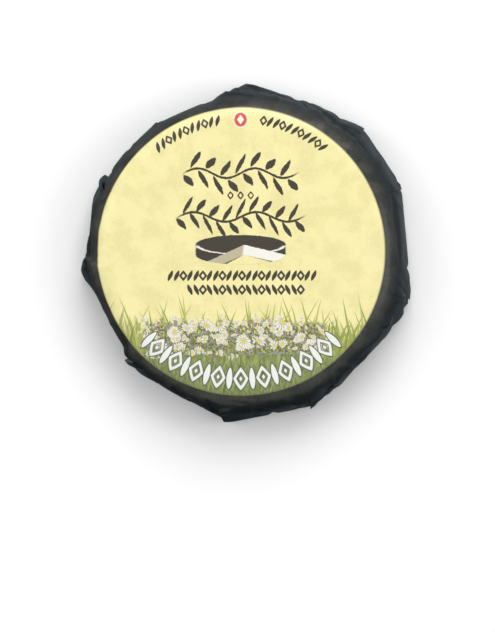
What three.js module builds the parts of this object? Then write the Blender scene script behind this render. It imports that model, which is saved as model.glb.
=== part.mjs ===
// A small washed-rind cheese wheel, wrapped in one sheet of pleated paper that a round label closes
// underneath. Millimetres, +Z up. The origin is the middle of the label's underside, on the wheel's axis.

import * as THREE from "three";

// The cheese: a low wheel with a flat top and base, and a rim that swells outwards.
const CHEESE_RADIUS = 69;
const CHEESE_HEIGHT = 29;
const RIM_DEPTH = 10;
// An exponent of 2 makes the rim's section a plain ellipse, and a higher one makes it squarer.
const RIM_SQUARENESS = 2.5;
const RIM_STEPS = 14;
const WHEEL_SIDES = 72;

// The wrapper: its layers are pressed into one sheet that leaves a round opening under the label.
const PAPER_THICKNESS = 0.5;
const OPENING_RADIUS = 18;
const FACET_STEP_DEGREES = 6;
// The pleats stand furthest off the cheese low on the side, and turn in again at the foot.
const PLEAT_HEIGHT = 9;
const PLEAT_FOOT_SHARE = 0.7;

// The label overlaps the paper all round its opening.
const LABEL_OVERLAP = 16;
const LABEL_THICKNESS = 0.3;

// The clearance between two pieces that touch.
const TOUCH_GAP = 0.3;

// The wrapper's corners, counter-clockwise from +X: each is a pleat that stands off the cheese,
// and the paper runs nearly straight from one to the next.
const PLEATS = [
  { degrees: 22, standOff: 6.9 },
  { degrees: 45, standOff: 8.4 },
  { degrees: 55.5, standOff: 4.7 },
  { degrees: 60.5, standOff: 5 },
  { degrees: 89.5, standOff: 6.7 },
  { degrees: 103, standOff: 1.2 },
  { degrees: 122.5, standOff: 1.6 },
  { degrees: 145, standOff: 2.1 },
  { degrees: 154.5, standOff: 4.2 },
  { degrees: 184.5, standOff: 5 },
  { degrees: 223, standOff: 4.3 },
  { degrees: 260, standOff: 7.7 },
  { degrees: 293.5, standOff: 7.7 },
  { degrees: 303.5, standOff: 4.9 },
  { degrees: 341.5, standOff: 7.7 },
  { degrees: 344, standOff: 7.9 },
];

// Heights of the stack, from the surface that the wheel stands on.
const PAPER_BASE = LABEL_THICKNESS + TOUCH_GAP;
const CHEESE_BASE = PAPER_BASE + PAPER_THICKNESS + TOUCH_GAP;
const CHEESE_MIDDLE = CHEESE_BASE + CHEESE_HEIGHT / 2;

const CHEESE_MATERIAL = new THREE.MeshStandardMaterial({ color: "#e9dcc0", roughness: 0.8, metalness: 0 });
const PAPER_MATERIAL = new THREE.MeshStandardMaterial({ color: "#23282a", roughness: 0.45, metalness: 0 });
const LABEL_MATERIAL = new THREE.MeshStandardMaterial({ color: "#efe9d6", roughness: 0.6, metalness: 0 });

function smoothRise(share) {
  const held = THREE.MathUtils.clamp(share, 0, 1);
  return held * held * (3 - 2 * held);
}

// The rim's section from its top edge to its bottom edge, on a surface that lies `offset` off the cheese.
function rimSection(offset) {
  const depth = RIM_DEPTH + offset;
  const rise = CHEESE_HEIGHT / 2 + offset;
  const power = 2 / RIM_SQUARENESS;
  return Array.from({ length: RIM_STEPS + 1 }, (_, step) => {
    const turn = Math.PI * (step / RIM_STEPS - 0.5);
    const height = Math.sign(-turn) * rise * Math.abs(Math.sin(turn)) ** power;
    const radius = CHEESE_RADIUS - RIM_DEPTH + depth * Math.abs(Math.cos(turn)) ** power;
    return new THREE.Vector2(radius, CHEESE_MIDDLE + height);
  });
}

function makeCheese() {
  const section = rimSection(0);
  const top = new THREE.Vector2(0, section[0].y);
  const base = new THREE.Vector2(0, section[RIM_STEPS].y);
  const profile = [base, ...section.reverse(), top];
  const geometry = new THREE.LatheGeometry(profile, WHEEL_SIDES);
  geometry.rotateX(Math.PI / 2);
  const mesh = new THREE.Mesh(geometry, CHEESE_MATERIAL);
  mesh.name = "cheese";
  return mesh;
}

// Where a pleat's edge stands on the wheel's plan.
function pleatPoint(pleat, sheetRadius) {
  const radius = sheetRadius + pleat.standOff;
  const angle = THREE.MathUtils.degToRad(pleat.degrees);
  return new THREE.Vector2(radius * Math.cos(angle), radius * Math.sin(angle));
}

// The columns of the wrapper: its direction, and how far the paper stands off the cheese there.
function wrapperColumns() {
  const sheetRadius = CHEESE_RADIUS + TOUCH_GAP + PAPER_THICKNESS;
  const columns = [];
  PLEATS.forEach((pleat, index) => {
    const next = PLEATS[(index + 1) % PLEATS.length];
    const span = THREE.MathUtils.euclideanModulo(next.degrees - pleat.degrees, 360);
    const steps = Math.max(1, Math.round(span / FACET_STEP_DEGREES));
    const from = pleatPoint(pleat, sheetRadius);
    const to = pleatPoint(next, sheetRadius);
    for (let step = 0; step < steps; step += 1) {
      const point = from.clone().lerp(to, step / steps);
      columns.push({ angle: point.angle(), standOff: Math.max(0, point.length() - sheetRadius) });
    }
  });
  return columns;
}

// How much of a pleat's stand-off reaches a given height on the side.
function pleatShare(height, base, top) {
  if (height > PLEAT_HEIGHT) {
    return smoothRise((top - height) / (top - PLEAT_HEIGHT));
  }
  const footRise = smoothRise((height - base) / (PLEAT_HEIGHT - base));
  return PLEAT_FOOT_SHARE + (1 - PLEAT_FOOT_SHARE) * footRise;
}

// One face of the paper, from the middle of the top to the opening underneath: a ring for each row.
function sheetRows(offset, columns) {
  const section = rimSection(offset);
  const top = section[0].y;
  const base = section[RIM_STEPS].y;
  const rows = section.map((point) => {
    const share = pleatShare(point.y, base, top);
    return columns.map((column) => ringPoint(column.angle, point.x + share * column.standOff, point.y));
  });
  rows.push(columns.map((column) => ringPoint(column.angle, OPENING_RADIUS, base)));
  return rows;
}

function ringPoint(angle, radius, height) {
  return new THREE.Vector3(radius * Math.cos(angle), radius * Math.sin(angle), height);
}

// The wrapper is one skin: over its outer face, round the edge of the opening, and back over its inner face.
function makeWrapper() {
  const columns = wrapperColumns();
  const outer = sheetRows(TOUCH_GAP + PAPER_THICKNESS, columns);
  const inner = sheetRows(TOUCH_GAP, columns);
  const rows = [...outer, ...inner.reverse()];
  const outerPole = new THREE.Vector3(0, 0, rows[0][0].z);
  const innerPole = new THREE.Vector3(0, 0, rows[rows.length - 1][0].z);
  const geometry = new THREE.BufferGeometry().setFromPoints([outerPole, ...rows.flat(), innerPole]);
  geometry.setIndex(skinTriangles(rows.length, columns.length));
  geometry.computeVertexNormals();
  const mesh = new THREE.Mesh(geometry, PAPER_MATERIAL);
  mesh.name = "paper_wrapper";
  return mesh;
}

// Triangles of a skin that starts at one pole, runs through rings of points and ends at another pole.
function skinTriangles(rowCount, columnCount) {
  const at = (row, column) => 1 + row * columnCount + (column % columnCount);
  const lastPole = 1 + rowCount * columnCount;
  const triangles = [];
  for (let column = 0; column < columnCount; column += 1) {
    triangles.push(0, at(0, column), at(0, column + 1));
    for (let row = 0; row < rowCount - 1; row += 1) {
      triangles.push(at(row, column), at(row + 1, column), at(row + 1, column + 1));
      triangles.push(at(row, column), at(row + 1, column + 1), at(row, column + 1));
    }
    triangles.push(lastPole, at(rowCount - 1, column + 1), at(rowCount - 1, column));
  }
  return triangles;
}

function makeLabel() {
  const radius = OPENING_RADIUS + LABEL_OVERLAP;
  const geometry = new THREE.CylinderGeometry(radius, radius, LABEL_THICKNESS, WHEEL_SIDES);
  geometry.rotateX(Math.PI / 2);
  const mesh = new THREE.Mesh(geometry, LABEL_MATERIAL);
  mesh.name = "base_label";
  mesh.position.z = LABEL_THICKNESS / 2;
  return mesh;
}

const wheel = new THREE.Group();
wheel.add(makeCheese(), makeWrapper(), makeLabel());

export default wheel;
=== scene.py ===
# %% [markdown]
# # A cheese wheel in its printed paper
# The real object is a small soft cheese in one sheet of waxed paper. The sheet lies flat on top, is pleated
# round the side and is folded under the wheel, where a round label holds it closed. This lesson starts from
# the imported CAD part, keeps its sizes and places, and makes three finer pieces: cheese, wrapper and label.

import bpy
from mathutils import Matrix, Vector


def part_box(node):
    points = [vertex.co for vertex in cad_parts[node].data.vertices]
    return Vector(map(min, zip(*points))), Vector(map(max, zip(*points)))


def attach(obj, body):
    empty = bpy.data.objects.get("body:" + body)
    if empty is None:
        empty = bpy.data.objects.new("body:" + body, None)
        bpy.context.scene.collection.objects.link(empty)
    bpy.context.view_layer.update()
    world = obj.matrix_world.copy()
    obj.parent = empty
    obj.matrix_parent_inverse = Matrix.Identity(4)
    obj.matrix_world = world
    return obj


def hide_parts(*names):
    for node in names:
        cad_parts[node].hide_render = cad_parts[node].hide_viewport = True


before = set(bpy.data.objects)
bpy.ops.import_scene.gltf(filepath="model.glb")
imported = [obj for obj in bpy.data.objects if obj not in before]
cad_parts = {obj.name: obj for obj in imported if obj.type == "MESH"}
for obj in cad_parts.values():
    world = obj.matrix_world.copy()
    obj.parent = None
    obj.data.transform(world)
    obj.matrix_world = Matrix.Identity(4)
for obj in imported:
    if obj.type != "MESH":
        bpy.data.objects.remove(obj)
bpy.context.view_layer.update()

import bpy
import numpy as np
from mathutils import Vector

MM = 0.001  # shapes are worked out in millimetres, and Blender holds metres


def box_mm(node):
    """The lowest and highest corner of a CAD node, in millimetres."""
    return [np.array(corner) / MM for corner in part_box(node)]


CHEESE_LOW, CHEESE_HIGH = box_mm("cheese")
_, PAPER_HIGH = box_mm("paper_wrapper")
LABEL_LOW, LABEL_HIGH = box_mm("base_label")
CHEESE_RADIUS = (CHEESE_HIGH[0] - CHEESE_LOW[0]) / 2
CHEESE_HALF_HEIGHT = (CHEESE_HIGH[2] - CHEESE_LOW[2]) / 2
CHEESE_MIDDLE = (CHEESE_HIGH[2] + CHEESE_LOW[2]) / 2
LABEL_RADIUS = (LABEL_HIGH[0] - LABEL_LOW[0]) / 2
PAPER_OFFSET = PAPER_HIGH[2] - CHEESE_HIGH[2]  # from the cheese to the paper's outer face
print(f"cheese {2 * CHEESE_RADIUS:.1f} mm wide, paper {PAPER_OFFSET:.2f} mm off it")

# %% [markdown]
# ## The camera
# The wheel is seen from straight above, with the top of its print away from the viewer. A long lens far
# away keeps the sides from spreading, as a packshot does. The camera stands a little off the wheel's axis,
# so that the wheel sits above the middle of the picture, and no lens shift is needed.

# %% Camera
FRAME_HEIGHT = 287.4  # how much of the table the picture's height covers, in mm
CAMERA_PLACE = (1.2, -29.0)
CAMERA_DISTANCE = 2000.0
SENSOR = 36.0

camera = bpy.data.objects.new("camera", bpy.data.cameras.new("camera"))
camera.data.sensor_width = SENSOR
camera.data.lens = SENSOR * CAMERA_DISTANCE / FRAME_HEIGHT
camera.data.clip_end = 10
camera.location = (CAMERA_PLACE[0] * MM, CAMERA_PLACE[1] * MM, (PAPER_HIGH[2] + CAMERA_DISTANCE) * MM)
bpy.context.scene.collection.objects.link(camera)
bpy.context.scene.camera = camera
print(f"lens {camera.data.lens:.0f} mm")

# %% [markdown]
# ## The section that everything follows
# A soft cheese sags a little as it ripens, so its rim swells into a squarish curve. The same curve, moved
# outwards, carries the paper. One function gives the path from the middle of the top, over the rim and in
# underneath, so cheese and paper can't run into each other.

# %% Section
RIM_DEPTH = 10.0
RIM_SQUARENESS = 2.5  # 2 is a round rim, and more is squarer
SECTION_STEPS = 600


def section(offset, inner_end):
    """A fine path in (radius, height), `offset` mm off the cheese, that ends at radius `inner_end` below."""
    turn = np.linspace(-np.pi / 2, np.pi / 2, SECTION_STEPS)
    power = 2 / RIM_SQUARENESS
    rise = CHEESE_HALF_HEIGHT + offset
    height = CHEESE_MIDDLE - np.sign(turn) * rise * np.abs(np.sin(turn)) ** power
    radius = CHEESE_RADIUS - RIM_DEPTH + (RIM_DEPTH + offset) * np.abs(np.cos(turn)) ** power
    return np.concatenate([[0], radius, [inner_end]]), np.concatenate([height[:1], height, height[-1:]])


print(f"rim {RIM_DEPTH:.0f} mm deep, squareness {RIM_SQUARENESS}")

# %% Points and normals along the section
def resample(radius, height, zones):
    """Points along a path at the given spacings: zones are (share of the path where it ends, spacing)."""
    along = np.concatenate([[0], np.cumsum(np.hypot(np.diff(radius), np.diff(height)))])
    stops, start = [0.0], 0.0
    for end_share, spacing in zones:
        end = end_share * along[-1]
        count = max(1, round((end - start) / spacing))
        stops += list(np.linspace(start, end, count + 1)[1:])
        start = end
    stops = np.array(stops)
    return stops, np.interp(stops, along, radius), np.interp(stops, along, height)


def outward(radius, height):
    """The section's outward normal at each point."""
    across, up = np.gradient(radius), np.gradient(height)
    size = np.hypot(across, up)
    return -up / size, across / size


section_length = resample(*section(0, 0), [(1, 1)])[0][-1]
print(f"the section is {section_length:.0f} mm long")

# %% Closed skins
SHARP_EDGE = np.radians(50)  # a steeper edge than this shows as a crease


def in_space(plan, level):
    """Points from places on plan, as complex numbers, and their heights."""
    return np.stack([plan.real, plan.imag, np.broadcast_to(level, plan.shape)], -1)


def skin(rows, columns):
    """Faces of a skin that starts at a pole, runs through rings of points and ends at another pole."""
    ring = np.arange(columns)
    following = (ring + 1) % columns
    row = 1 + columns * np.arange(rows - 1)[:, None]
    quads = np.stack([row + ring, row + columns + ring, row + columns + following, row + following], -1)
    last = 1 + columns * (rows - 1)
    pole = 1 + columns * rows
    first_cap = np.stack([np.zeros(columns, int), 1 + ring, 1 + following], -1)
    last_cap = np.stack([np.full(columns, pole), last + following, last + ring], -1)
    return first_cap.tolist() + quads.reshape(-1, 4).tolist() + last_cap.tolist()


def make_piece(name, points, faces, nodes):
    """A smooth mesh from points in mm, which rides on the root body and stands for the named CAD nodes."""
    mesh = bpy.data.meshes.new(name)
    mesh.from_pydata((points * MM).tolist(), [], faces)
    mesh.shade_smooth()
    piece = bpy.data.objects.new(name, mesh)
    bpy.context.scene.collection.objects.link(piece)
    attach(piece, "root")
    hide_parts(*nodes)
    print(f"{name}: {len(mesh.vertices)} points, {len(mesh.polygons)} faces")
    return piece


def carry(mesh, name, kind, values):
    """Stores values on a mesh's points for its material to read."""
    attribute = mesh.attributes.new(name, kind, "POINT")
    attribute.data.foreach_set("vector" if kind == "FLOAT_VECTOR" else "value", np.ravel(values))


print("two rings of 4 points and two poles make", len(skin(2, 4)), "faces")


# %% [markdown]
# ## How the sheet is pleated
# A flat sheet can't follow a round side, so the hands that wrap it press the spare paper into knife pleats.
# Each pleat starts as a point at the shoulder, stands off the cheese as a corner, and lies over its
# neighbour from there to the middle of the underside. Between two corners the paper is pulled straight. A
# simulated cloth would give soft waves, not pressed folds, so the folds are listed one by one: each pleat
# has its direction, how far its corner stands off, how deep its fold is at the corner, how far it gapes and
# how far it leans over. Every fold is deeper underneath, where there is the most spare paper, but it stops
# short of the next corner, so no fold runs through another.

# %% Pleats
# Each pleat: degrees from +X, stand-off, fold depth and gape in mm, and degrees that it leans by the foot.
# A depth of 0 is a plain corner. A fold that leans back a lot shows the hollow under it from above.
PLEATS = [
    (22, 8.2, 0.9, 0.2, 0),
    (45, 9.5, 1.0, 0.2, 1.8),
    (55.5, 5.8, 1.0, 0.3, -1.2),
    (60.5, 6.0, 0, 0, 1.0),
    (89.5, 8.2, 0.1, 0, -0.6),
    (103, 2.3, 0, 0, -1.8),
    (122.5, 2.6, 1.5, 0.3, 4.7),
    (144, 2.9, 0, 0, 0),
    (156, 4.2, 2.6, 3.0, -8.0),
    (161, 5.3, 0, 0, -8.0),
    (181, 2.6, 0, 0, 0),
    (183, 5.2, 0, 0, 0),
    (185.3, 6.0, 0, 0, 0.5),
    (225.5, 5.0, 3.0, 2.6, -6.0),
    (230, 4.0, 0, 0, -5.0),
    (260, 8.4, 1.5, 0.5, 4.8),
    (293.5, 7.8, 1.6, 0.5, -1.3),
    (303.5, 5.0, 1.2, 0.4, -0.5),
    (331, 6.2, 0, 0, 2.2),
    (341.5, 9.0, 0, 0, -0.6),
    (344, 9.0, 1.2, 0.4, 0.4),
]
DEEP_FOLD = 5.5
FOLD_ROOM = 0.8  # a fold reaches at most this share of the way to the next corner
BLUNT, BLUNT_REACH = 0.6, 5.0  # how far a corner is rounded off, and over which length, in mm
OPENING_RADIUS = 18.0
SIDE_RADIUS = CHEESE_RADIUS + PAPER_OFFSET
LEAN_START, LEAN_REACH = 72.0, 30.0  # mm along the sheet: where folds start to lean, and over what length
CORNER_LEVEL = 90.0  # mm along the sheet from the middle of the top to where the corners stand off most
COLUMN_SPACING = 1.15
FOLD_COLUMNS = 4
LEAST_STAND = 0.1  # mm; folded paper never touches the cheese
LAYER_REACH = 0.9  # the share of a panel over which it comes down from the fold it lies on
SEAM = np.radians(0.35)  # half the room that a fold's points take where the sheet isn't folded yet

pleat_angle, pleat_stand, pleat_fold, pleat_gape, pleat_lean = np.array(PLEATS, float).T
pleat_angle, pleat_lean = np.radians(pleat_angle), np.radians(pleat_lean)
panel_span = np.diff(np.append(pleat_angle, pleat_angle[0] + 2 * np.pi))
panel_columns = np.maximum(3, np.round(panel_span * (SIDE_RADIUS + 5) / COLUMN_SPACING)).astype(int)
print(f"{int((pleat_fold > 0).sum())} folded pleats and {int((pleat_fold == 0).sum())} plain corners")


def on_plan(angle, stand):
    """Points on the wheel's plan, as complex numbers, at the widest level of the side."""
    return (SIDE_RADIUS + stand) * np.exp(1j * angle)


def chord_stand(angle):
    """How far the straight paper between the corners stands off the cheese in these directions."""
    angles = np.append(pleat_angle, pleat_angle[0] + 2 * np.pi)
    corners = on_plan(angles, np.append(pleat_stand, pleat_stand[0]))
    share = np.linspace(0, 1, 40, endpoint=False)
    chords = (corners[:-1, None] * (1 - share) + corners[1:, None] * share).ravel()
    order = np.argsort(np.angle(chords))
    around, stands = np.angle(chords)[order], np.abs(chords)[order] - SIDE_RADIUS
    return np.interp(np.angle(np.exp(1j * angle)), around, stands, period=2 * np.pi)


# %% Rows and columns of the sheet
FADE_STEPS, FADE_SOFT = 400, 25  # a ramp's fine steps, and how many of them its corners are rounded over


def fade(value, *stops):
    """A smoothed ramp through (place, height) stops."""
    places, heights = np.array(stops, float).T
    fine = np.linspace(places[0], places[-1], FADE_STEPS)
    kernel = np.hanning(FADE_SOFT)
    padded = np.pad(np.interp(fine, places, heights), FADE_SOFT // 2, mode="edge")
    return np.interp(value, fine, np.convolve(padded, kernel / kernel.sum(), mode="valid"))


def sheet_row(folded, deeper, slant, depth_radius):
    """One row's points on plan, and how far each is lifted: folded runs from 0 (flat) to 1 (pressed)."""
    grown = np.where(pleat_fold > 0, folded, 0)
    depth = pleat_fold + (DEEP_FOLD - pleat_fold) * deeper
    tip_angle = pleat_angle + slant + SEAM * (1 - grown)
    fold_span = np.minimum(grown * depth / depth_radius, FOLD_ROOM * panel_span)
    tail_angle = pleat_angle + slant - SEAM * (1 - grown) + fold_span
    tips = on_plan(tip_angle, pleat_stand)
    tail_stand = np.maximum(LEAST_STAND, chord_stand(tail_angle - slant) - pleat_gape * grown)
    tails = on_plan(tail_angle, tail_stand)
    plan, lift = [], []
    for index, count in enumerate(panel_columns):
        following = (index + 1) % len(PLEATS)
        share = np.arange(count) / count
        panel = tips[index] * (1 - share) + tails[following] * share
        span = np.abs(tails[following] - tips[index]) / BLUNT_REACH
        ends = np.clip(1 - span * share, 0, 1) ** 2 + np.clip(1 - span * (1 - share), 0, 1) ** 2
        plan.append(panel * (1 - BLUNT * ends / SIDE_RADIUS))
        lift.append(grown[index] * np.clip(1 - share / LAYER_REACH, 0, 1))
        share = np.arange(FOLD_COLUMNS) / FOLD_COLUMNS
        pressed = tails[following] * (1 - share) + tips[following] * share
        plan.append(pressed * (1 - BLUNT / SIDE_RADIUS))
        lift.append(grown[following] * share)
    return np.concatenate(plan), np.concatenate(lift)


print(f"a row has {panel_columns.sum() + FOLD_COLUMNS * len(PLEATS)} points")

# %% [markdown]
# ## Creases
# Waxed paper keeps every dent as a sharp line with flat ground on both sides. A plain noise would look like
# wet cloth, so each crease is drawn as what it is: a long low pyramid or pit of four flat faces, with one
# flank steeper than the other. Where two meet, the higher or the deeper one holds, so the faces between the
# creases stay flat. Most lie on the rim, where hands pressed the paper, and a few long soft ones cross the
# top.

# %% Crease maker
STEEP_SIDE = 0.4  # the steep flank's width as a share of the flat one's
rng = np.random.default_rng(7)


def creases(place, count, ring, length, width, depth, turn=90):
    """Heights in mm of random flat-faced creases on the flat sheet; each range is (least, most).

    turn is how many degrees a crease may lie off the line from the sheet's middle."""
    ridges, valleys = np.zeros(place.shape), np.zeros(place.shape)
    for _ in range(count):
        out = np.exp(1j * rng.uniform(0, 2 * np.pi))
        centre = rng.uniform(*ring) * out
        heading = out * np.exp(1j * np.radians(rng.uniform(-turn, turn)))
        reach, spread = rng.uniform(*length), rng.uniform(*width)
        height = rng.uniform(*depth) * rng.choice([-1, 1])
        from_centre = (place - centre) / heading
        flank = np.where(from_centre.imag > 0, spread, spread * STEEP_SIDE)
        fall = np.abs(from_centre.real) / reach + np.abs(from_centre.imag) / flank
        crease = height * np.clip(1 - fall, 0, 1)
        ridges, valleys = np.maximum(ridges, crease), np.minimum(valleys, crease)
    return ridges + valleys


print(f"a crease's steep flank is {STEEP_SIDE:.0%} as wide as its flat one")

# %% [markdown]
# ## The wrapper
# The sheet is one closed skin: over its outer face, round its edge in the opening and back over its inner
# face. The outer face carries the pleats and creases. The inner face only follows the cheese, because
# nobody sees it. So the paper is thick behind its corners, and no dent can break through to the lining.

# %% Outer face of the wrapper
OUTER_ZONES = [(0.38, 2.2), (0.74, 0.85), (1.0, 1.6)]  # rows are closest on the rim
TWIST = np.radians(42)  # how far the folds spiral in underneath
DROP = 0.8  # the paper that drops straight stays this far outside the cheese's side, in mm
FULL_DROP = 4.0  # a corner that stands off this much drops straight
LEAST_RADIUS = 30.0  # nearer the middle than this, a fold keeps its angle
LIFTED = 0.03  # the lowest point of the paper, in mm

path_radius, path_height = section(PAPER_OFFSET, OPENING_RADIUS)
along, row_radius, row_height = resample(path_radius, path_height, OUTER_ZONES)
along, row_radius, row_height = along[1:], row_radius[1:], row_height[1:]
normal_out, normal_up = outward(row_radius, row_height)
END = along[-1]

# Everything that changes along the sheet is a profile. Its stops are (mm from the sheet's middle, value).
# How far the corners stand off, and how far the paper between the shoulder and the foot drops straight:
FLARE_STOPS = [
    (0, 0), (52, 0), (66, 0.22), (74, 0.42), (80, 0.6), (CORNER_LEVEL, 1), (98, 0.86), (106, 0.5)
]
flare = fade(along, *FLARE_STOPS, (124, 0))
hold = fade(along, (0, 0), (72, 0), (80, 1), (92, 1), (100, 0.4), (110, 0))
# How far the folds are pressed, how much deeper they get underneath, and how thick their layers lie in mm:
folded = fade(along, (0, 0), (61, 0), (76, 0.5), (88, 1), (END - 9, 1), (END - 4, 0), (END, 0))
deeper = fade(along, (92, 0), (106, 1), (END, 1))
LAYER_STOPS = [(0, 0), (62, 0), (76, 0.3), (100, 0.42), (108, 0.42), (116, 0.18), (END - 4, 0.1), (END, 0)]
lift_size = fade(along, *LAYER_STOPS)
twist = TWIST * fade(along, (92, 0), (104, 0.08), (END, 1))

outer_plan, outer_lift = [], []
for row in range(len(along)):
    slant = pleat_lean * np.clip((along[row] - LEAN_START) / LEAN_REACH, 0, 1)
    plan, lift = sheet_row(folded[row], deeper[row], slant, max(row_radius[row], LEAST_RADIUS))
    outer_plan.append(plan)
    outer_lift.append(lift)
outer_plan, outer_lift = np.array(outer_plan), np.array(outer_lift)
stand = np.maximum(0, np.abs(outer_plan) - SIDE_RADIUS)
# Below the shoulder the paper drops straight from its corners, and doesn't follow the rim inwards.
straight = (hold * (SIDE_RADIUS + DROP - row_radius))[:, None] * np.clip(stand / FULL_DROP, 0, 1)
stand = stand * flare[:, None] + straight
direction = outer_plan / np.abs(outer_plan)
print(f"outer face: {outer_plan.shape[0]} rows of {outer_plan.shape[1]} points")

# %% Where each point lies on the flat sheet
# Paper doesn't stretch, so a point's distance from the sheet's middle is measured along the paper itself.
taut = (row_radius[:, None] + stand) * direction
steps = np.hypot(np.abs(np.diff(taut, axis=0)), np.diff(row_height)[:, None])
reach = along[0] + np.concatenate([np.zeros((1, steps.shape[1])), np.cumsum(steps, axis=0)])
flat_place = reach * direction[0]
print(f"the flat sheet is {2 * reach.max():.0f} mm across at its widest")

# %% Creased surface
PIT_START, PIT_SHARE = 0.22, 0.8  # the deepest pit: mm where the paper lies close, and share of stand-off
UNDER_START, UNDER_DENTS = 106, (-0.2, 0.1)  # from here on the paper is pressed nearly flat
crease_stops = [(0, 0), (62, 0), (66, 0.1), (70, 0.7), (76, 1), (82, 1), (98, 1), (108, 0.3), (END, 0.1)]
crease_size = fade(along, *crease_stops)
top_soft = fade(along, (0, 1), (60, 1), (75, 0.5), (END, 0))[:, None]
# Long folds in any direction, then shorter ones that run outwards, as the pulled paper's do.
dents = creases(flat_place, 80, (68, 112), (12, 30), (4.0, 10.0), (0.7, 2.0))
dents += creases(flat_place, 36, (74, 100), (10, 26), (3.0, 7.0), (0.5, 1.5), turn=30)
dents *= crease_size[:, None]
# At its widest the pulled paper is only pressed in, so the outline stays straight between the corners.
pulled = fade(along, (0, 0), (78, 0), (86, 0.85), (95, 0.85), (102, 0), (END, 0))[:, None]
dents = np.where(dents > 0, dents * (1 - pulled), dents)
dents += creases(flat_place, 26, (0, 66), (18, 45), (6, 16), (0.05, 0.16)) * top_soft
# A pit is never deeper than the room under it, and there is less where the paper turns in under the wheel.
room = np.where(normal_up < 0, normal_out, 1)[:, None]
dents = np.maximum(dents, -PIT_START - PIT_SHARE * stand * room)
dents = np.where(along[:, None] > UNDER_START, np.clip(dents, *UNDER_DENTS), dents)
print(f"creases from {dents.min():.1f} to {dents.max():.1f} mm")
raised = dents + outer_lift * lift_size[:, None]
outer_radius = row_radius[:, None] + stand + normal_out[:, None] * raised
outer_height = row_height[:, None] + normal_up[:, None] * raised
outer_place = outer_radius * direction * np.exp(1j * twist)[:, None]
outer_points = in_space(outer_place, np.maximum(outer_height, LIFTED))

# %% Inner face and the closed skin
INNER_ZONES = [(0.38, 9.0), (0.74, 2.5), (1.0, 7.0)]
INNER_OFFSET = 0.3  # the gap to the cheese, in mm

inner_path = section(INNER_OFFSET, OPENING_RADIUS)
inner_along, inner_radius, inner_height = resample(*inner_path, INNER_ZONES)
inner_along, inner_radius, inner_height = inner_along[1:], inner_radius[1:], inner_height[1:]
inner_plan, _ = sheet_row(0, 0, 0, SIDE_RADIUS)
inner_direction = inner_plan / np.abs(inner_plan)
inner_place = inner_radius[:, None] * inner_direction
inner_place = inner_place * np.exp(1j * np.interp(inner_along, along, twist))[:, None]
inner_points = in_space(inner_place, inner_height[:, None])[::-1]

rings = np.concatenate([outer_points, inner_points])
top_pole = [[0, 0, outer_points[0, :, 2].mean()]]
inner_pole = [[0, 0, inner_points[-1, 0, 2]]]
wrapper_points = np.concatenate([top_pole, rings.reshape(-1, 3), inner_pole])
wrapper = make_piece("wrapper", wrapper_points, skin(*rings.shape[:2]), ["paper_wrapper"])
wrapper.data.set_sharp_from_angle(angle=SHARP_EDGE)
print("wrapper low and high:", wrapper_points.min(0).round(2), wrapper_points.max(0).round(2))

# %% What the wrapper carries for its print
inner_flat = (inner_along[:, None] * inner_direction)[::-1]
sheet_place = np.concatenate([[0], flat_place.ravel(), inner_flat.ravel(), [0]])
carry(wrapper.data, "sheet", "FLOAT_VECTOR", in_space(sheet_place, 0.0))
pressed_edge = outer_lift * np.minimum(1, folded)[:, None]
worn = np.concatenate([[0], pressed_edge.ravel(), np.zeros(inner_flat.size + 1)])
carry(wrapper.data, "fold", "FLOAT", worn)
face_row = np.zeros(len(wrapper.data.polygons), int)
face_row[-len(inner_points) * rings.shape[1] :] = 1
wrapper.data.polygons.foreach_set("material_index", face_row)
print(f"{face_row.sum()} faces of lining")

# %% [markdown]
# ## A map for painted copies
# Some viewers can't run a node material and need a flat picture of it. The map unrolls the sheet as seen
# from above, with most of its room for the printed disc, and puts the inner face in a corner of its own.

# %% Flat map of the wrapper
# mm from the sheet's middle, and the same points' distances from the map's middle, as shares of its width
MAP_STOPS = ([0, 66, 104, reach.max()], [0, 0.36, 0.45, 0.485])
MAP_MIDDLE, EDGE_RING = 0.5 + 0.5j, 0.49
LINING_MIDDLE, LINING_RADIUS = 0.913 + 0.087j, 0.08
columns = rings.shape[1]
outer_count = 1 + flat_place.size
outer_sheet, inner_sheet = np.split(sheet_place, [outer_count])
outer_map = MAP_MIDDLE + np.interp(np.abs(outer_sheet), *MAP_STOPS) * np.exp(1j * np.angle(outer_sheet))
inner_map = LINING_MIDDLE + LINING_RADIUS * inner_sheet / np.abs(sheet_place).max()
point_map = np.concatenate([outer_map, inner_map])
corner_point = np.zeros(len(wrapper.data.loops), int)
wrapper.data.loops.foreach_get("vertex_index", corner_point)
corner_map = point_map[corner_point]
# The sheet's cut edge joins both faces, so it gets a thin ring of its own round the outer face.
edge_start = 3 * columns + 4 * columns * (len(outer_points) - 1)
edge = slice(edge_start, edge_start + 4 * columns)
ring_map = MAP_MIDDLE + EDGE_RING * direction[0]
inner_side = corner_point[edge] >= outer_count
corner_map[edge][inner_side] = ring_map[(corner_point[edge][inner_side] - outer_count) % columns]
flat_map = wrapper.data.uv_layers.new(name="OFBake")
flat_map.data.foreach_set("uv", np.stack([corner_map.real, corner_map.imag], -1).ravel())
print(f"map spans {corner_map.real.min():.2f} to {corner_map.real.max():.2f}")

# %% [markdown]
# ## The base label
# A round paper sticker pulls the folds together. It is cut from a sheet, so it is thin, flat and
# sharp-edged. Over the folds it isn't quite flat: it shows them as faint spokes, which are modelled from
# below.

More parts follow.
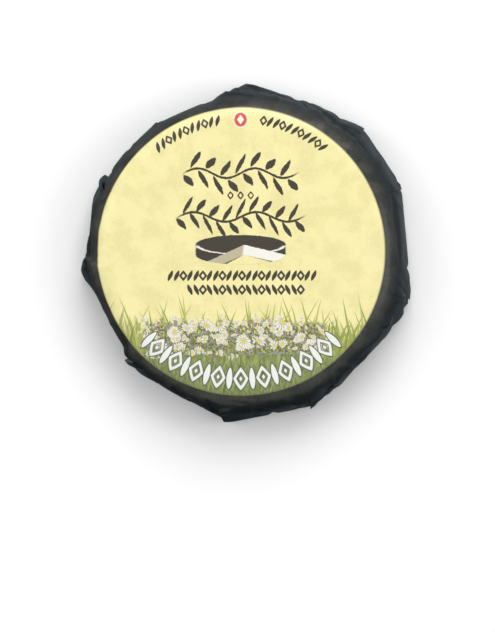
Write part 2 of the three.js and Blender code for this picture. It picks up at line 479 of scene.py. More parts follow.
# %% Base label
LABEL_THICKNESS = LABEL_HIGH[2] - LABEL_LOW[2]
LABEL_SIDES, LABEL_RINGS = 240, 24
LABEL_RIM = 0.3  # the flat part ends this far from the cut edge, in mm
EDGE_WEAR = 0.06  # how much the cut edge is rounded, in mm
SPOKES, SPOKE_DEPTH, SPOKE_TWIST = 12, 0.08, 0.12
flat_rings = np.linspace(2, LABEL_RADIUS - LABEL_RIM, LABEL_RINGS)
label_ring = np.concatenate([flat_rings, [LABEL_RADIUS - 0.05, LABEL_RADIUS]])
around = np.exp(2j * np.pi * np.arange(LABEL_SIDES) / LABEL_SIDES)
label_flat = label_ring[:, None] * around
spokes = SPOKE_DEPTH * (1 + np.cos(SPOKES * np.angle(label_flat) + SPOKE_TWIST * label_ring[:, None]))
spokes *= np.clip((label_ring - OPENING_RADIUS) / 5, 0, 1)[:, None]
spokes *= np.clip(LABEL_RADIUS - LABEL_RIM - label_ring, 0, 1)[:, None]
rounded = np.where(label_ring >= LABEL_RADIUS, EDGE_WEAR, 0.0)[:, None]
label_top = in_space(label_flat, LABEL_THICKNESS - rounded)
label_base = in_space(label_flat, rounded + spokes)[::-1]
label_rings = np.concatenate([label_top, label_base])
label_points = np.concatenate([[[0, 0, LABEL_THICKNESS]], label_rings.reshape(-1, 3), [[0, 0, 0]]])
label = make_piece(
    "bottom_label", label_points, skin(*label_rings.shape[:2]), ["base_label"]
)
label.data.set_sharp_from_angle(angle=SHARP_EDGE)

# %% [markdown]
# ## The cheese
# A washed-rind cheese ripens in a round mould and on a rack. Its rind dries into fine wrinkles, shrinks a
# little where it was turned, and keeps a soft swelling round the rim. It is a natural solid, so it is one
# closed skin with no layers. The wrinkles only go inwards, so the rind stays clear of the paper.

# %% Cheese
CHEESE_SIDES = 300
CHEESE_ZONES = [(0.4, 2.4), (0.75, 1.2), (1, 2.4)]
RACK_PITCH, RACK_DEPTH = 9.0, 0.12  # mm between the rack's wires, and how far they press in
cheese_along, cheese_ring, cheese_level = resample(*section(0, 1.5), CHEESE_ZONES)
cheese_along, cheese_ring, cheese_level = cheese_along[1:], cheese_ring[1:], cheese_level[1:]
cheese_out, cheese_up = outward(cheese_ring, cheese_level)
cheese_angle = np.exp(2j * np.pi * np.arange(CHEESE_SIDES) / CHEESE_SIDES)
rind_place = cheese_along[:, None] * cheese_angle
wrinkles = creases(rind_place, 320, (4, 125), (3, 12), (0.8, 2.0), (0.05, 0.22))
wrinkles -= wrinkles.max()
rack = RACK_DEPTH * np.clip(np.cos(2 * np.pi * cheese_ring[:, None] * cheese_angle.real / RACK_PITCH), 0, 1)
wrinkles -= rack * np.clip(np.abs(cheese_up), 0, 1)[:, None]
cheese_far = (cheese_ring[:, None] + cheese_out[:, None] * wrinkles) * cheese_angle
cheese_height = cheese_level[:, None] + cheese_up[:, None] * wrinkles
cheese_rings = in_space(cheese_far, cheese_height)
first_pole, last_pole = [[0, 0, cheese_height[0].mean()]], [[0, 0, cheese_height[-1].mean()]]
cheese_points = np.concatenate([first_pole, cheese_rings.reshape(-1, 3), last_pole])
cheese = make_piece("cheese_body", cheese_points, skin(*cheese_rings.shape[:2]), ["cheese"])
print(f"deepest wrinkle {-wrinkles.min():.2f} mm")

# %% [markdown]
# ## How materials are written here
# Colours are given as sRGB hex values, as a paint chart does, and one function turns them to the linear
# values that Blender wants. One function adds a node, sets it and links it, so that a pattern reads as a
# list of steps. Patterns are drawn in millimetres on the flat sheet, from an attribute that every point of
# the wrapper carries, so the print is bent and folded with the paper, as ink is.

# %% Helpers for materials
def linear(colour):
    """An sRGB hex colour as linear red, green, blue and alpha."""
    parts = np.array([int(colour[i : i + 2], 16) for i in (1, 3, 5)]) / 255
    return (*np.where(parts <= 0.04045, parts / 12.92, ((parts + 0.055) / 1.055) ** 2.4), 1.0)


def add(tree, kind, inputs=(), **settings):
    """Adds one node, sets it and links it, and returns its first output in use.

    kind may end in an operation, as in "Math ADD"; inputs are values or sockets, in order or by name."""
    kind, _, operation = kind.partition(" ")
    node = tree.nodes.new("ShaderNode" + kind)
    if operation:
        node.operation = operation
    for key, value in settings.items():
        setattr(node, key, value)
    used = [socket for socket in node.inputs if socket.enabled]
    for key, value in inputs.items() if isinstance(inputs, dict) else enumerate(inputs):
        socket = node.inputs[key] if isinstance(key, str) else used[key]
        if isinstance(value, bpy.types.NodeSocket):
            tree.links.new(value, socket)
        elif value is not None:
            socket.default_value = value
    outputs = [socket for socket in node.outputs if socket.enabled]
    return outputs[0] if outputs else None


def other(socket, name):
    """Another output of the node that a socket belongs to."""
    return socket.node.outputs[name]


def solve(tree, formula, **values):
    """Works a formula out in nodes. Each line of it is: result = OPERATION inputs, by name or number."""
    for line in formula.strip().splitlines():
        name, _, operation, *items = line.split()
        inputs = [values[item] if item in values else float(item) for item in items]
        values[name] = add(tree, "Math " + operation, inputs)
    return values


def new_material(name):
    """A material with an empty node tree."""
    material = bpy.data.materials.new(name)
    material.use_nodes = True
    material.node_tree.nodes.clear()
    return material, material.node_tree


def new_group(name, inputs, outputs):
    """An empty node group of numbers: its tree, its input sockets by name, and its output node's inputs."""
    tree = bpy.data.node_groups.new(name, "ShaderNodeTree")
    for socket in inputs.split():
        tree.interface.new_socket(socket, in_out="INPUT", socket_type="NodeSocketFloat")
    for socket in outputs.split():
        tree.interface.new_socket(socket, in_out="OUTPUT", socket_type="NodeSocketFloat")
    source = tree.nodes.new("NodeGroupInput")
    target = tree.nodes.new("NodeGroupOutput")
    return tree, {socket: source.outputs[socket] for socket in inputs.split()}, target.inputs


print("mid grey #808080 is", round(linear("#808080")[0], 3), "in linear light")

# %% [markdown]
# ## Motif 1: a row of printed marks
# The ornament is rows of small plain shapes, each between a lozenge and a bar. One formula draws them all:
# the sum of two powers, |u|^p + |v|^p, is a lozenge at p = 1, a dot at p = 2 and nearly a box at p = 6. The
# row repeats by wrapping the distance along it, so a row of forty marks costs no more than one. A slant
# turns a pointed dot into a leaf.

# %% Row of marks
marks, given, result = new_group(
    "row of marks", "along across pitch shift long high power slant start end", "size"
)
row = solve(
    marks,
    """
    half = MULTIPLY pitch 0.5
    minus_half = MULTIPLY pitch -0.5
    shifted = SUBTRACT along shift
    local = WRAP shifted half minus_half
    centre = SUBTRACT along local
    sheared = MULTIPLY_ADD across slant local
    side = ABSOLUTE sheared
    u = DIVIDE side long
    up = ABSOLUTE across
    v = DIVIDE up high
    u_power = POWER u power
    v_power = POWER v power
    total = ADD u_power v_power
    root = DIVIDE 1.0 power
    size = POWER total root
    too_low = LESS_THAN centre start
    too_high = GREATER_THAN centre end
    missing = ADD too_low too_high
    kept = MULTIPLY_ADD missing 99.0 size
    """,
    **given,
)
marks.links.new(row["kept"], result["size"])
print(f"a row of marks is {len(marks.nodes)} nodes")

# %% [markdown]
# ## Motif 2: blades of grass
# A printed meadow edge is a fringe of thin curved blades. The ground is cut into upright strips, and each
# strip holds one blade with a random height, foot and bend that white noise gives it. Several such layers,
# from tall and sparse to short and dense, make a meadow.

# %% Blades
blades, given, result = new_group("blades of grass", "x y spacing ground height width seed", "mask tone")
row = solve(
    blades,
    """
    moved = MULTIPLY_ADD seed 1.7 x
    cells = DIVIDE moved spacing
    cell = FLOOR cells
    strip = ADD cell seed
    share = FRACT cells
    inside = SUBTRACT share 0.5
    above = SUBTRACT y ground
    """,
    **given,
)
chance = add(blades, "TexWhiteNoise", {"W": row["strip"]}, noise_dimensions="1D")
dice = add(blades, "SeparateColor", [other(chance, "Color")])
row = solve(
    blades,
    """
    tall = MULTIPLY_ADD red 0.7 0.3
    top = MULTIPLY tall height
    rise = DIVIDE above top
    bend = MULTIPLY_ADD green 0.8 -0.4
    squared = MULTIPLY rise rise
    foot = MULTIPLY_ADD blue 0.2 -0.1
    middle = MULTIPLY_ADD squared bend foot
    offset = SUBTRACT inside middle
    off = ABSOLUTE offset
    taper = SUBTRACT 1.0 rise
    thin = POWER taper 0.7
    wide = DIVIDE width spacing
    breadth = MULTIPLY wide thin
    close = SUBTRACT breadth off
    sharp = MULTIPLY close spacing
    mask = MULTIPLY sharp 6.0
    """,
    **row,
    red=dice,
    green=other(dice, "Green"),
    blue=other(dice, "Blue"),
)
blades.links.new(add(blades, "Clamp", [row["mask"]]), result["mask"])
blades.links.new(chance, result["tone"])
print(f"a layer of blades is {len(blades.nodes)} nodes")

# %% [markdown]
# ## Motif 3: daisies
# A daisy is a ring of white petals round a yellow heart. A Voronoi pattern scatters the centres, and each
# point of the sheet then knows the way to its nearest flower. The petals are waves of the angle round that
# centre. The flowers are seen from the side of the meadow, so they are drawn a little wider than high.

# %% Daisies
PETAL_WAVES = 6.5  # half the number of petals
SQUASH = 1.25  # how much wider than high a flower is
daisies, given, result = new_group(
    "daisies", "x y cell radius low high side crowd seed", "petals heart tone"
)
given.update(waves=PETAL_WAVES, squash=SQUASH)
row = solve(daisies, "tilted = MULTIPLY y squash\n scale = DIVIDE 1.0 cell", **given)
place = add(daisies, "CombineXYZ", [row["x"], row["tilted"], 0.0])
shift = add(daisies, "CombineXYZ", [row["seed"], row["seed"], 0.0])
moved = add(daisies, "VectorMath ADD", [place, shift])
scatter = {"Vector": moved, "Scale": row["scale"], "Randomness": 0.9}
scatter = add(daisies, "TexVoronoi", scatter, voronoi_dimensions="2D")
away = add(daisies, "VectorMath SUBTRACT", [moved, other(scatter, "Position")])
flower = add(daisies, "SeparateXYZ", [add(daisies, "VectorMath SUBTRACT", [place, away])])
turned = add(daisies, "SeparateXYZ", [away])
dice = add(daisies, "SeparateColor", [other(scatter, "Color")])
row = solve(
    daisies,
    """
    angle = ARCTAN2 away_y away_x
    wave = MULTIPLY_ADD angle waves red
    cosine = COSINE wave
    lobes = ABSOLUTE cosine
    rounded = POWER lobes 0.6
    edge = MULTIPLY_ADD rounded 0.5 0.5
    grown = MULTIPLY_ADD red 0.4 0.6
    size = MULTIPLY grown radius
    share = DIVIDE distance size
    left = SUBTRACT edge share
    inked = MULTIPLY left 6.0
    petal = MINIMUM inked 1.0
    level = DIVIDE flower_y squash
    is_high = GREATER_THAN level low
    is_low = LESS_THAN level high
    from_middle = ABSOLUTE flower_x
    is_near = LESS_THAN from_middle side
    is_chosen = LESS_THAN green crowd
    placed = MULTIPLY is_high is_low
    wanted = MULTIPLY is_near is_chosen
    grows = MULTIPLY placed wanted
    kept = MAXIMUM petal 0.0
    petals = MULTIPLY kept grows
    in_heart = LESS_THAN share 0.3
    heart = MULTIPLY in_heart grows
    depth = MULTIPLY lobes share
    """,
    **row,
    away_x=turned,
    away_y=other(turned, "Y"),
    flower_x=flower,
    flower_y=other(flower, "Y"),
    red=dice,
    green=other(dice, "Green"),
    distance=add(daisies, "VectorMath LENGTH", [away]),
)
for name, value in (("petals", "petals"), ("heart", "heart"), ("tone", "depth")):
    daisies.links.new(row[value], result[name])
print(f"a scatter of daisies is {len(daisies.nodes)} nodes")

# %% [markdown]
# ## The printed paper
# The wrapper is thin paper with a wax coat, printed all over in offset inks: a black ground like slate, and
# a pale yellow disc on it. Printing is laid down in order, and each layer hides what is under it. The
# material does the same: it starts with the ground colour and prints one ink after another over it, through
# a mask.

# %% Ground of the disc and of the black
DISC_CENTRE = (-1.9, 0.45, 0.0)
DISC_RADIUS = 65.9
EDGE_SOFT = 0.12  # half the width of an ink's edge

paper, tree = new_material("waxed printed paper")
sheet = other(add(tree, "Attribute", attribute_name="sheet"), "Vector")
fold = other(add(tree, "Attribute", attribute_name="fold"), "Fac")
rough_edge = add(tree, "TexNoise", {"Vector": sheet, "Scale": 0.8, "Detail": 2.0}, noise_dimensions="2D")
wobble = add(tree, "VectorMath SUBTRACT", [other(rough_edge, "Color"), (0.5, 0.5, 0.5)])
wobble = add(tree, "VectorMath SCALE", {"Vector": wobble, "Scale": 0.55})
place = add(tree, "VectorMath SUBTRACT", [sheet, DISC_CENTRE])
brushed = add(tree, "SeparateXYZ", [add(tree, "VectorMath ADD", [place, wobble])])
x = add(tree, "SeparateXYZ", [place])
y = other(x, "Y")
radius = add(tree, "VectorMath LENGTH", [place])


def ramp(value, start, end, low=0.0, high=1.0):
    """How far a value has come from start to end, eased: the soft edge of every print."""
    return add(tree, "MapRange", [value, start, end, low, high], interpolation_type="SMOOTHSTEP")


def ink(under, colour, mask):
    """Prints one colour over what is already there, where the mask is 1."""
    colour = linear(colour) if isinstance(colour, str) else colour
    return add(tree, "Mix", [mask, under, colour], data_type="RGBA")


def noise(scale, detail=3.0, roughness=0.55, vector=sheet):
    """Unevenness of ink or paper on the flat sheet; the scale is in cells per millimetre."""
    inputs = {"Vector": vector, "Scale": scale, "Detail": detail, "Roughness": roughness}
    return add(tree, "TexNoise", inputs, noise_dimensions="2D")


# The black ink is mottled like slate, in specks about 1 mm wide. Close to the disc, a warmer, paler painted
# sheen stands in for the overhead light that the wrapper's flat top reflects.
specks = noise(0.9, 4.0, 0.7)
clouds = noise(0.11)
PAINTED_SHEEN_START, PAINTED_SHEEN_END = DISC_RADIUS + 1, DISC_RADIUS + 11
painted_top_sheen = ramp(radius, PAINTED_SHEEN_START, PAINTED_SHEEN_END, 1.0, 0.0)
painted_top_sheen = add(tree, "Math MULTIPLY", [painted_top_sheen, ramp(clouds, 0.3, 0.65, 0.4, 1.0)])
black = ink(linear("#0B1215"), "#172025", ramp(specks, 0.4, 0.7))
# painted sheen: warm grey laid over the black near the disc, standing in for the flat top's reflection of
# the overhead light
black = ink(black, "#3F3E38", add(tree, "Math MULTIPLY", [painted_top_sheen, ramp(specks, 0.25, 0.6, 0.5, 1.0)]))

# The yellow is laid in soft patches some 12 mm wide.
yellow = ink(linear("#ECE2A3"), "#E2D898", ramp(noise(0.085, 5.0, 0.6), 0.38, 0.64))
yellow = ink(yellow, "#F1EAB7", ramp(specks, 0.35, 0.8, 0.0, 0.4))
print(f"disc {2 * DISC_RADIUS:.0f} mm across")

# %% [markdown]
# ## The printed meadow
# The lower third of the disc is a meadow. It is printed from the back to the front: a green haze, tall thin
# blades, a brown and blue-grey tangle of stems and buds, four sizes of daisies, and a dense turf in front.

# %% Haze, grass and stems
LEAN = 0.4  # the steepest lean of a layer of blades, as mm aside for each mm up


def grow(under, count, back, front, colours):
    """Prints layers of blades; back and front are (spacing, ground, height, width) in mm."""
    for index in range(count):
        share = index / (count - 1)
        spacing, ground, height, width = np.array(back) * (1 - share) + np.array(front) * share
        above = add(tree, "Math SUBTRACT", [y, ground])
        leaning = add(tree, "Math MULTIPLY_ADD", [above, LEAN * np.sin(2.3 * index), x])
        seed = 3.7 + 61 * index + 13 * abs(ground)  # any number that differs from layer to layer
        blade = [leaning, y, spacing, ground, height, width, seed]
        blade = add(tree, "Group", blade, node_tree=blades)
        pale, dark = colours[index % len(colours)]
        under = ink(under, ink(linear(dark), pale, other(blade, "tone")), blade)
    return under


lower = add(tree, "Math ADD", [y, add(tree, "Math MULTIPLY", [noise(0.12), 9.0])])
art = ink(yellow, "#A4AA63", ramp(lower, -25, -40, 0.0, 0.85))
MEADOW = [("#BDBF70", "#8F9A46"), ("#A5AC5A", "#76843A"), ("#B4B869", "#84913F"), ("#98A250", "#66752F")]
art = grow(art, 14, (10, -40, 24, 0.8), (5.5, -45, 12, 0.8), MEADOW)
tangle = add(tree, "Math MULTIPLY", [ramp(lower, -26, -30), ramp(lower, -46, -42)])
BED_SHIFT = 3.0  # the flowers lie this far to the left, in mm
sides = add(tree, "Math ABSOLUTE", [add(tree, "Math ADD", [x, BED_SHIFT])])
tangle = add(tree, "Math MULTIPLY", [tangle, ramp(sides, 44, 38)])
stems = noise(0.75, 2.0, 0.5)
art = ink(art, "#7D7352", add(tree, "Math MULTIPLY", [tangle, ramp(stems, 0.46, 0.56)]))
art = ink(art, "#55523F", add(tree, "Math MULTIPLY", [tangle, ramp(noise(1.1, 2.0), 0.56, 0.64)]))
art = ink(art, "#8E93A0", add(tree, "Math MULTIPLY", [tangle, ramp(noise(0.62, 2.0, 0.5), 0.58, 0.64)]))
print(f"{len(tree.nodes)} nodes with the grass")

# %% Daisies and turf
# Each size, in mm: cell, radius, lowest and highest centre, half the bed's width; then share kept and shift.
DAISY_SIZES = [
    (3.6, 1.5, -48, -30, 44, 0.4, 911.0),
    (4.8, 2.2, -48, -31, 43, 0.45, 377.0),
    (6.2, 2.9, -46, -31, 42, 0.5, 541.0),
    (8.6, 4.0, -44, -32, 38, 0.6, 123.0),
]
bed = add(tree, "Math ADD", [y, add(tree, "Math MULTIPLY_ADD", [noise(0.06), 10.0, -5.0])])
clumps = ramp(noise(0.075, 1.0), 0.36, 0.6, 0.35, 1.5)
for daisy_size in DAISY_SIZES:
    *size, share_kept, pattern_shift = daisy_size
    crowd = add(tree, "Math MULTIPLY", [clumps, share_kept])
    from_middle = add(tree, "Math ADD", [x, BED_SHIFT])
    daisy = add(tree, "Group", [from_middle, bed, *size, crowd, pattern_shift], node_tree=daisies)
    petal = ink(linear("#E6E3D6"), "#A3A3A2", ramp(other(daisy, "tone"), 0.5, 0.0))
    art = ink(art, ink(petal, "#D9C94E", other(daisy, "heart")), daisy)
front = add(tree, "Math ADD", [y, add(tree, "Math MULTIPLY", [noise(0.2), 7.0])])
art = ink(art, "#7F8B58", ramp(front, -44, -51))
TURF = [("#8D9862", "#66733F"), ("#838F56", "#5C6937"), ("#99A26A", "#6F7B46")]
art = grow(art, 8, (2.6, -50, 10, 0.5), (2.1, -68, 12, 0.6), TURF)
print(f"{len(tree.nodes)} nodes so far")

# %% [markdown]
# ## The ornament
# Where a label would carry words, this one carries plain ornament of about the same weight: a border of
# lozenges, two leafy garlands, a wheel of cheese with a wedge cut out, two rows of marks and a white border
# over the grass. The dark shapes are brushed, so their edges wander by a few tenths of a millimetre.

# %% Brown ornament
BROWN = "#403B31"
FAR = 999.0


def inside(size, border=1.0, softness=0.08):
    """1 where a motif's size is under the border."""
    return ramp(size, border + softness, border - softness)


def ring(size, inner):
    """1 on a motif's outline, whose inner edge is at this share of its size."""
    return add(tree, "Math SUBTRACT", [inside(size), inside(size, inner)])


def printed_row(*inputs):
    """The sizes of a row of marks; the inputs are in the order of its group's."""
    return add(tree, "Group", inputs, node_tree=marks)


def draw(under, colour, *masks):
    """Prints several masks in one ink."""
    for mask in masks:
        under = ink(under, colour, mask)
    return under


# The top border: leaning leaves and hollow lozenges along an arc, on both sides of a roundel.
ARC_RADIUS = 60.3
arc = add(tree, "Math MULTIPLY", [add(tree, "Math ARCTAN2", [x, y]), ARC_RADIUS])
arc_across = add(tree, "Math SUBTRACT", [radius, ARC_RADIUS])
for start, end in ((-41, -8), (8, 41)):
    lozenge = printed_row(arc, arc_across, 9.0, 1.5, 1.8, 2.4, 1.1, 0.0, start, end)
    art = draw(art, BROWN, ring(lozenge, 0.45))
    for shift in (4.5, 7.5):
        leaf = printed_row(arc, arc_across, 9.0, shift, 0.95, 2.5, 1.5, -0.4, start, end)
        art = draw(art, BROWN, inside(leaf))
level = add(tree, "Math SUBTRACT", [y, ARC_RADIUS - 0.4])
roundel = printed_row(x, level, FAR, 0.0, 3.3, 3.8, 2.0, 0.0, -FAR, FAR)
pip = printed_row(x, level, FAR, 0.0, 1.5, 2.1, 1.1, 0.0, -FAR, FAR)
art = draw(draw(art, "#EDEAE0", inside(roundel)), "#CF5B40", inside(roundel, 0.86))
art = draw(art, "#EDEAE0", inside(pip))

# Two garlands: a wavy stem with a leaf on each side in turn.
brush_x, brush_y = brushed, other(brushed, "Y")
# Each garland, in mm: level, half width, wave length, half a leaf's length, and its distance from the stem.
GARLANDS = ((35.5, 25.5, 26.0, 2.5, 4.3), (15.6, 28.5, 28.5, 2.1, 3.7))
for middle, half_width, wave_length, leaf, gap in GARLANDS:
    wave = add(tree, "Math SINE", [add(tree, "Math MULTIPLY", [brush_x, 2 * np.pi / wave_length])])
    wave = add(tree, "Math MULTIPLY", [wave, 2.2])
    level = add(tree, "Math SUBTRACT", [add(tree, "Math SUBTRACT", [brush_y, middle]), wave])
    stem = printed_row(brush_x, level, 99.0, 0.0, half_width, 0.55, 6.0, 0.0, -FAR, FAR)
    art = draw(art, BROWN, inside(stem))
    for sign, shift in ((1, 0.0), (-1, leaf + 0.9)):
        across = add(tree, "Math MULTIPLY_ADD", [level, sign, -gap])
        outline = (2 * leaf + 1.8, shift, leaf * 0.62, 3.5, 1.5, -0.6, 1 - half_width, half_width - 1)
        leaves = printed_row(brush_x, across, *outline)
        art = draw(art, BROWN, inside(leaves))
dots_level = add(tree, "Math SUBTRACT", [y, 25.4])
dots = printed_row(brush_x, dots_level, 4.6, 0.0, 1.5, 1.9, 1.2, 0.0, -8, 8)
art = draw(art, BROWN, ring(dots, 0.5))
print(f"{len(tree.nodes)} nodes with the garlands")

# %% A wheel of cheese with a wedge cut out
PALE = "#EBE8DE"
WHEEL_HALF, TOP_HALF, TOP_LEVEL, BASE_LEVEL = 20.5, 4.4, 3.0, -1.6


def shape(across, up, long, high, power):
    """The size of a single motif: an oval at power 2, nearly a box at power 9."""
    return printed_row(across, up, FAR, 0.0, long, high, power, 0.0, -FAR, FAR)


oval = shape(brush_x, add(tree, "Math SUBTRACT", [brush_y, TOP_LEVEL]), WHEEL_HALF, TOP_HALF, 2.0)
foot = shape(brush_x, add(tree, "Math SUBTRACT", [brush_y, BASE_LEVEL]), WHEEL_HALF, TOP_HALF, 2.0)
side_height = TOP_LEVEL - BASE_LEVEL
side = add(tree, "Math SUBTRACT", [brush_y, (TOP_LEVEL + BASE_LEVEL) / 2])
side = shape(brush_x, side, WHEEL_HALF, side_height / 2, 30.0)
ends = add(tree, "Math MAXIMUM", [inside(oval, 1.0, 0.02), inside(foot, 1.0, 0.02)])
body = add(tree, "Math MAXIMUM", [ends, inside(side, 1.0, 0.02)])
art = ink(art, BROWN, body)
rim_line = add(tree, "Math SUBTRACT", [inside(oval, 1.02, 0.03), inside(oval, 0.93, 0.03)])
art = ink(art, PALE, add(tree, "Math MULTIPLY", [rim_line, ramp(brush_y, TOP_LEVEL, TOP_LEVEL - 1)]))
across = add(tree, "Math DIVIDE", [add(tree, "Math SUBTRACT", [brush_x, 1.5]), WHEEL_HALF])
CUT = ((TOP_LEVEL, -0.45, 0.75, PALE), (TOP_LEVEL, -0.45, 0.0, "#B9AF93"), (BASE_LEVEL, -0.49, 0.79, BROWN))
for level, start, end, colour in CUT:
    down = add(tree, "Math DIVIDE", [add(tree, "Math SUBTRACT", [level, brush_y]), TOP_HALF])
    turn = add(tree, "Math ARCTAN2", [across, down])
    wedge = add(tree, "Math MULTIPLY", [ramp(turn, start, start + 0.06), ramp(turn, end, end - 0.06)])
    art = ink(art, colour, add(tree, "Math MULTIPLY", [wedge, body]))
floor_cut = add(tree, "Math MULTIPLY", [ramp(turn, -0.42, -0.36), ramp(turn, 0.72, 0.66)])
art = ink(art, yellow, add(tree, "Math MULTIPLY", [floor_cut, body]))
print(f"{len(tree.nodes)} nodes with the wheel of cheese")

# %% Rows of marks and the white border
for level, start, end, slant in ((-11.1, -34, 35.5, -0.4), (-17.5, -26, 28, 0.4)):
    across = add(tree, "Math SUBTRACT", [y, level])
    lozenge = printed_row(x, across, 8.9, 0.6, 1.95, 2.45, 1.1, 0.0, start, end)
    art = draw(art, BROWN, ring(lozenge, 0.42))
    for shift in (3.6, 6.5):
        leaf = printed_row(x, across, 8.9, shift, 1.0, 2.45, 1.5, slant, start, end)
        art = draw(art, BROWN, inside(leaf))

LOW_RADIUS = 58.0
below = add(tree, "Math MULTIPLY", [y, -1.0])
arc = add(tree, "Math MULTIPLY", [add(tree, "Math ARCTAN2", [x, below]), LOW_RADIUS])
across = add(tree, "Math SUBTRACT", [radius, LOW_RADIUS])
lozenge = printed_row(arc, across, 10.4, 0.0, 3.4, 5.2, 1.15, 0.0, -50, 50)
leaf = printed_row(arc, across, 10.4, 5.2, 1.35, 4.9, 1.7, 0.0, -50, 50)
leaf_edge = printed_row(arc, across, 10.4, 5.2, 1.8, 5.5, 1.7, 0.0, -50, 50)
band = add(tree, "Math SUBTRACT", [inside(lozenge, 1.13), inside(lozenge, 0.5)])
art = draw(art, "#464A3E", band, inside(leaf_edge), inside(lozenge, 0.34))
art = draw(art, "#E4E6E0", ring(lozenge, 0.6), inside(leaf), inside(lozenge, 0.22))
print(f"{len(tree.nodes)} nodes with all the ornament")

# %% The finished paper
# Wax fills the paper's pores. So the eye sees a deep colour under a soft, slightly broken gloss. The folds'
# edges, where the wax and the ink have cracked, are pale.
art = ink(art, "#6B6B4B", ramp(radius, DISC_RADIUS - 0.9, DISC_RADIUS, 0.0, 0.75))
colour = ink(art, black, ramp(radius, DISC_RADIUS - EDGE_SOFT, DISC_RADIUS + EDGE_SOFT))
scuff = add(tree, "Math MULTIPLY", [ramp(fold, 0.93, 1.0), ramp(noise(0.5), 0.3, 0.6, 0.05, 0.45)])
colour = ink(colour, "#777B79", scuff)
PAPER_FIBRE = 1.6  # cells per mm; real fibres are finer, but would be lost at this distance
fibre = noise(PAPER_FIBRE, 3.0)
bump = add(tree, "Bump", {"Strength": 0.15, "Distance": 0.05 * MM, "Height": fibre})
shader = {
    "Base Color": colour,
    "Roughness": ramp(clouds, 0.3, 0.7, 0.28, 0.38),
    "IOR": 1.5,
    "Specular IOR Level": 0.4,
    "Normal": bump,
}
add(tree, "OutputMaterial", {"Surface": add(tree, "BsdfPrincipled", shader)})

# The lining is bare paper: off-white, and dull from every side.
lining, tree = new_material("uncoated inside of the paper")
shader = {"Base Color": linear("#DCD9CF"), "Roughness": 0.7, "IOR": 1.5}
add(tree, "OutputMaterial", {"Surface": add(tree, "BsdfPrincipled", shader)})
for material in (paper, lining):
    wrapper.data.materials.append(material)
print(f"the paper has {len(paper.node_tree.nodes)} nodes")

# %% [markdown]
# ## Label stock and rind
# The label is uncoated cream paper with two plain printed rules. Nothing fills its pores, so it is matt,
# and the ink sinks in and dries dull. The rind is a thin skin of pale mould over an orange washed crust,
# which shows through where the bloom is thin. Mould is like felt to the eye, and the damp crust under it
# has a little shine.

# %% Label
label_paper, tree = new_material("uncoated label stock")
spot = add(tree, "TexCoord")
spot = add(tree, "VectorMath SCALE", {"Vector": other(spot, "Object"), "Scale": 1 / MM})
flat = add(tree, "VectorMath MULTIPLY", [spot, (1, 1, 0)])
from_axis = add(tree, "VectorMath LENGTH", [flat])
RULES = ((LABEL_RADIUS - 3.0, 0.5), (LABEL_RADIUS - 4.6, 0.2))  # each rule's radius and half width, in mm
rules = []
for middle, half_width in RULES:
    off = add(tree, "Math ABSOLUTE", [add(tree, "Math SUBTRACT", [from_axis, middle])])
    rules.append(ramp(off, half_width + 0.08, half_width - 0.08))
stock = ink(linear("#EFE8D2"), "#E3DABF", ramp(noise(0.1, vector=spot), 0.4, 0.65))
shader = {
    "Base Color": ink(stock, "#5A5244", add(tree, "Math MAXIMUM", [*rules])),
    "Roughness": 0.6,
    "IOR": 1.5,
    "Normal": add(
        tree, "Bump", {"Strength": 0.2, "Distance": 0.05 * MM, "Height": noise(1.6, vector=spot)}
    ),
}
add(tree, "OutputMaterial", {"Surface": add(tree, "BsdfPrincipled", shader)})
label.data.materials.append(label_paper)
print(f"the label has {len(RULES)} printed rules")

# %% Rind
rind, tree = new_material("washed rind with white bloom")
spot = other(add(tree, "TexCoord"), "Object")
spot = add(tree, "VectorMath SCALE", {"Vector": spot, "Scale": 1 / MM})


def depth_noise(scale, detail):
    """Unevenness of the rind in space; the scale is in cells per millimetre."""
    return add(tree, "TexNoise", {"Vector": spot, "Scale": scale, "Detail": detail, "Roughness": 0.6})


crust = ink(linear("#D9A768"), "#C98E4F", ramp(depth_noise(0.2, 3.0), 0.4, 0.65))
bloom = ramp(depth_noise(0.09, 6.0), 0.36, 0.52)
rind_colour = ink(crust, "#EDE6D6", bloom)
rind_colour = ink(rind_colour, "#F7F3EA", ramp(depth_noise(0.5, 3.0), 0.5, 0.8, 0.0, 0.7))
shader = {
    "Base Color": rind_colour,
    "Roughness": ramp(bloom, 0.0, 1.0, 0.55, 0.85),
    "IOR": 1.45,
    "Normal": add(tree, "Bump", {"Strength": 0.5, "Distance": 0.2 * MM, "Height": depth_noise(0.9, 4.0)}),
}
add(tree, "OutputMaterial", {"Surface": add(tree, "BsdfPrincipled", shader)})
cheese.data.materials.append(rind)
print(f"the rind has {len(tree.nodes)} nodes")

# %% [markdown]
# ## The studio
# The wheel lies on a seamless pale floor in a pale room. The largest soft box stands behind it and above,
# and two smaller ones to its left and right, so the folds on the far side catch light, and the near side
# stays dark. Black waxed paper shows mostly what it mirrors. So the floor is left out of its reflections,
# as if a dark cloth lay round the wheel, and the room is dark below the horizon, more so on the near side.

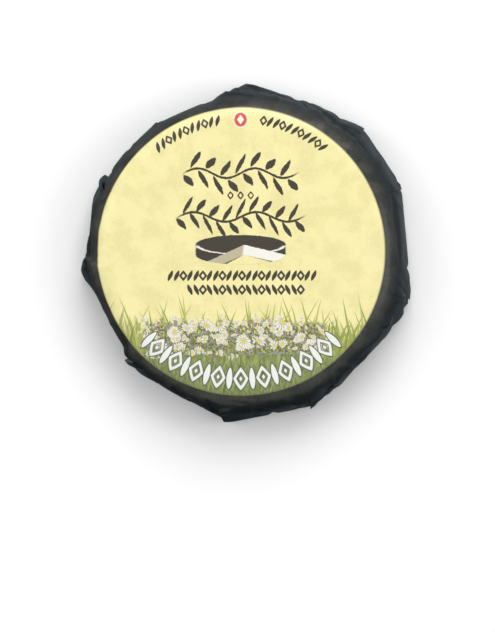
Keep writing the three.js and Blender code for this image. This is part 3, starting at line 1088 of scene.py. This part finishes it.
# %% Floor
FLOOR_REACH = 4.0  # metres from the wheel to the floor's edge
floor_mesh = bpy.data.meshes.new("floor")
floor_corners = [(across, back, 0) for across, back in ((-1, -1), (1, -1), (1, 1), (-1, 1))]
floor_mesh.from_pydata(FLOOR_REACH * np.array(floor_corners), [], [(0, 1, 2, 3)])
floor = bpy.data.objects.new("floor", floor_mesh)
bpy.context.scene.collection.objects.link(floor)
floor.visible_glossy = False
studio, tree = new_material("matt white studio floor")
shader = {"Base Color": linear("#FAFAFA"), "Roughness": 0.9, "Specular IOR Level": 0.2}
add(tree, "OutputMaterial", {"Surface": add(tree, "BsdfPrincipled", shader)})
floor_mesh.materials.append(studio)
print(f"floor {2 * FLOOR_REACH:.0f} m wide")

# %% The room and its soft boxes
world = bpy.data.worlds.new("studio")
bpy.context.scene.world = world
world.use_nodes = True
surround, tree = world.node_tree.nodes["Background"], world.node_tree
room_way = add(tree, "SeparateXYZ", [other(add(tree, "TexCoord"), "Generated")])
bright_side = add(tree, "Math MULTIPLY_ADD", [room_way, 0.5, other(room_way, "Y")])
above_horizon = other(room_way, "Z")
low_room = ink(linear("#2A3338"), "#CBD6DB", ramp(bright_side, -0.9, 1.0))
DARK_LEVEL, PALE_LEVEL = -0.22, -0.02  # the room turns from dark to pale just below the horizon
room = ink(low_room, "#FFFFFF", ramp(above_horizon, DARK_LEVEL, PALE_LEVEL))
tree.links.new(room, surround.inputs["Color"])
surround.inputs["Strength"].default_value = 0.6


def soft_light(name, place, size, watts):
    """A square soft box that faces the wheel."""
    light = bpy.data.objects.new(name, bpy.data.lights.new(name, "AREA"))
    light.data.shape = "SQUARE"
    light.data.size = size
    light.data.energy = watts
    light.location = place
    light.rotation_euler = Vector(place).to_track_quat("Z", "Y").to_euler()
    bpy.context.scene.collection.objects.link(light)


soft_light("key", (0.2, 1.5, 1.5), 1.4, 24)
soft_light("left", (-1.5, 0.4, 1.4), 1.2, 8)
soft_light("right", (1.4, 0.0, 1.2), 1.0, 6)
bpy.context.scene.view_settings.view_transform = "Standard"
print(f"{len(bpy.data.lights)} soft boxes")
